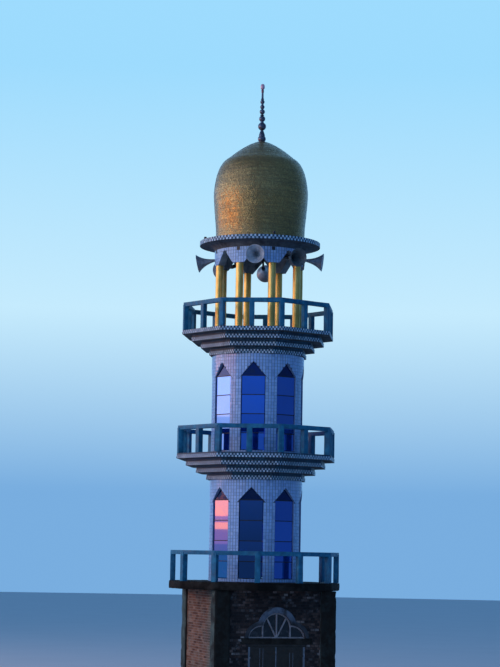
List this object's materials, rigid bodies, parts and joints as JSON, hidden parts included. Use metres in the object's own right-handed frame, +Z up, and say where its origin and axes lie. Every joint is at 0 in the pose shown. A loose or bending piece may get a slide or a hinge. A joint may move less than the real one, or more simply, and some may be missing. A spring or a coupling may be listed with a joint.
{
  "type": "minaret",
  "caption": "Slender tower with a square brick base and double door, round tiled storeys with pointed windows, railed balconies, an open columned lantern, horns and a gold dome.",
  "frame": {"origin": "on the ground, on the axis of the round shaft", "axes": "+Z up, the door faces -Y, +X to the right of the door as seen from outside"},
  "size_m": [4.78, 4.78, 18.41],
  "materials": {
    "concrete": "weathered dark cement",
    "brick": "rough red and grey brick",
    "plaster": "blue-grey lime plaster",
    "wall_tile": "pale blue glazed tile with dark joints",
    "checker_tile": "small blue and green checker tile",
    "teal_paint": "teal paint on cement",
    "gold_tile": "gold chip mosaic",
    "glass": "blue reflective glass",
    "door_steel": "dark painted sheet steel",
    "pale_steel": "pale blue-grey painted steel",
    "horn_grey": "weathered grey paint",
    "finial_metal": "dark weathered metal"
  },
  "bodies": {
    "tower": {"base_floor": "concrete", "door_lintel": "concrete", "terrace_slab": "concrete", "corner_column_front_left": "concrete", "corner_column_front_right": "concrete", "corner_column_back_left": "concrete", "corner_column_back_right": "concrete", "brick_wall_left": "brick", "brick_wall_right": "brick", "brick_wall_back": "brick", "brick_wall_front_left": "brick", "brick_wall_front_right": "brick", "brick_wall_over_door": "brick", "arch_surround": "plaster", "fanlight_frame": "pale_steel", "door_frame": "pale_steel", "fanlight_glass": "glass", "lower_window_glass": "glass", "upper_window_glass": "glass", "ring_beam": "wall_tile", "lower_wall_back_right": "wall_tile", "lower_wall_back_left": "wall_tile", "lower_wall_front_left": "wall_tile", "lower_wall_front_right": "wall_tile", "upper_wall_back_right": "wall_tile", "upper_wall_back_left": "wall_tile", "upper_wall_front_left": "wall_tile", "upper_wall_front_right": "wall_tile", "lower_balcony": "checker_tile", "upper_balcony": "checker_tile", "dome_slab": "checker_tile", "terrace_railing": "teal_paint", "lower_railing": "teal_paint", "upper_railing": "teal_paint", "dome": "gold_tile", "column_front": "gold_tile", "column_front_right": "gold_tile", "column_right": "gold_tile", "column_back_right": "gold_tile", "column_back": "gold_tile", "column_back_left": "gold_tile", "column_left": "gold_tile", "column_front_left": "gold_tile", "finial": "finial_metal", "horn_left": "horn_grey", "horn_front": "horn_grey", "horn_front_right": "horn_grey", "horn_right": "horn_grey", "horn_back": "horn_grey", "horn_back_left": "horn_grey"},
    "left_leaf": {"door_leaf_left": "door_steel"},
    "right_leaf": {"door_leaf_right": "door_steel"}
  },
  "joints": [
    {"name": "left_leaf_hinge", "type": "hinge", "parent": "tower", "child": "left_leaf", "pos_m": [-0.6105, -1.717, 1], "axis": [0, 0, -1], "range_deg": [0, 100]},
    {"name": "right_leaf_hinge", "type": "hinge", "parent": "tower", "child": "right_leaf", "pos_m": [0.9305, -1.717, 1], "axis": [0, 0, 1], "range_deg": [0, 100]}
  ]
}
